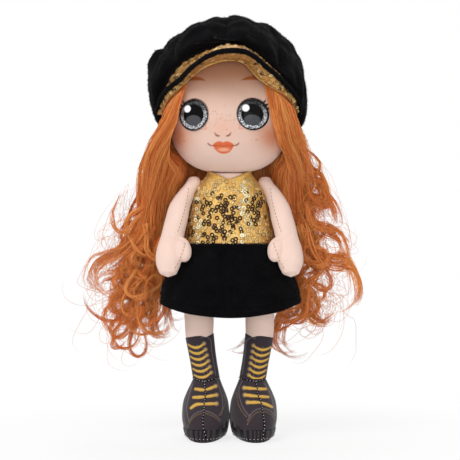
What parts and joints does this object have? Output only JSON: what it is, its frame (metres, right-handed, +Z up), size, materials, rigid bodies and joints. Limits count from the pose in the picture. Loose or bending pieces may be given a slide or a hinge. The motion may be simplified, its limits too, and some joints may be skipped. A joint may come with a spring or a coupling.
{
  "type": "soft doll",
  "caption": "Standing stuffed fashion doll with a large head, long curled hair, a puffy peaked cap, a sequin top, a flared skirt and printed boots.",
  "frame": {"origin": "on the floor, under the middle of the doll's bounding box", "axes": "+Z up; the doll faces -Y, so its own left side is +X"},
  "size_m": [0.1852, 0.114, 0.2784],
  "materials": {
    "skin": "smooth peach knit over stuffing",
    "eye": "glossy dome over a printed glitter iris",
    "hair": "satin copper fibre",
    "plush": "short black pile",
    "sequins": "gold ring sequins on mesh",
    "boot": "printed charcoal knit",
    "sole": "ribbed dark fabric"
  },
  "bodies": {
    "torso": {"torso": "skin", "sequin_top": "sequins", "plush_skirt": "plush"},
    "head": {"head": "skin", "eye_left": "eye", "eye_right": "eye", "hair_scalp": "hair", "hair_side_left": "hair", "hair_side_right": "hair", "hair_back": "hair"},
    "cap": {"cap_crown": "plush", "cap_band": "sequins", "cap_visor": "sequins", "visor_binding": "plush"},
    "arm_left": {"arm_left": "skin"},
    "arm_right": {"arm_right": "skin"},
    "leg_left": {"leg_left": "skin", "boot_shaft_left": "boot", "boot_foot_left": "boot", "boot_sole_left": "sole"},
    "leg_right": {"leg_right": "skin", "boot_shaft_right": "boot", "boot_foot_right": "boot", "boot_sole_right": "sole"}
  },
  "joints": [
    {"name": "head_turn", "type": "hinge", "parent": "torso", "child": "head", "pos_m": [0.00301, -0.00055, 0.1732], "axis": [0, 0, 1], "range_deg": [-30, 30], "stiffness_Nm_per_rad": 0.03, "deforming": ["hair_side_left", "hair_side_right", "hair_back"]},
    {"name": "cap_lift", "type": "slide", "parent": "head", "child": "cap", "axis": [0.0256, 0.5872, 0.809], "range_m": [0, 0.06]},
    {"name": "shoulder_left", "type": "hinge", "parent": "torso", "child": "arm_left", "pos_m": [0.02651, -0.00055, 0.1661], "axis": [-1, 0, 0], "range_deg": [0, 100]},
    {"name": "shoulder_right", "type": "hinge", "parent": "torso", "child": "arm_right", "pos_m": [-0.02049, -0.00055, 0.1661], "axis": [-1, 0, 0], "range_deg": [0, 100]},
    {"name": "hip_left", "type": "hinge", "parent": "torso", "child": "leg_left", "pos_m": [0.02351, -0.00055, 0.1], "axis": [-1, 0, 0], "range_deg": [-20, 90], "deforming": ["plush_skirt"]},
    {"name": "hip_right", "type": "hinge", "parent": "torso", "child": "leg_right", "pos_m": [-0.01749, -0.00055, 0.1], "axis": [-1, 0, 0], "range_deg": [-20, 90], "deforming": ["plush_skirt"]}
  ]
}
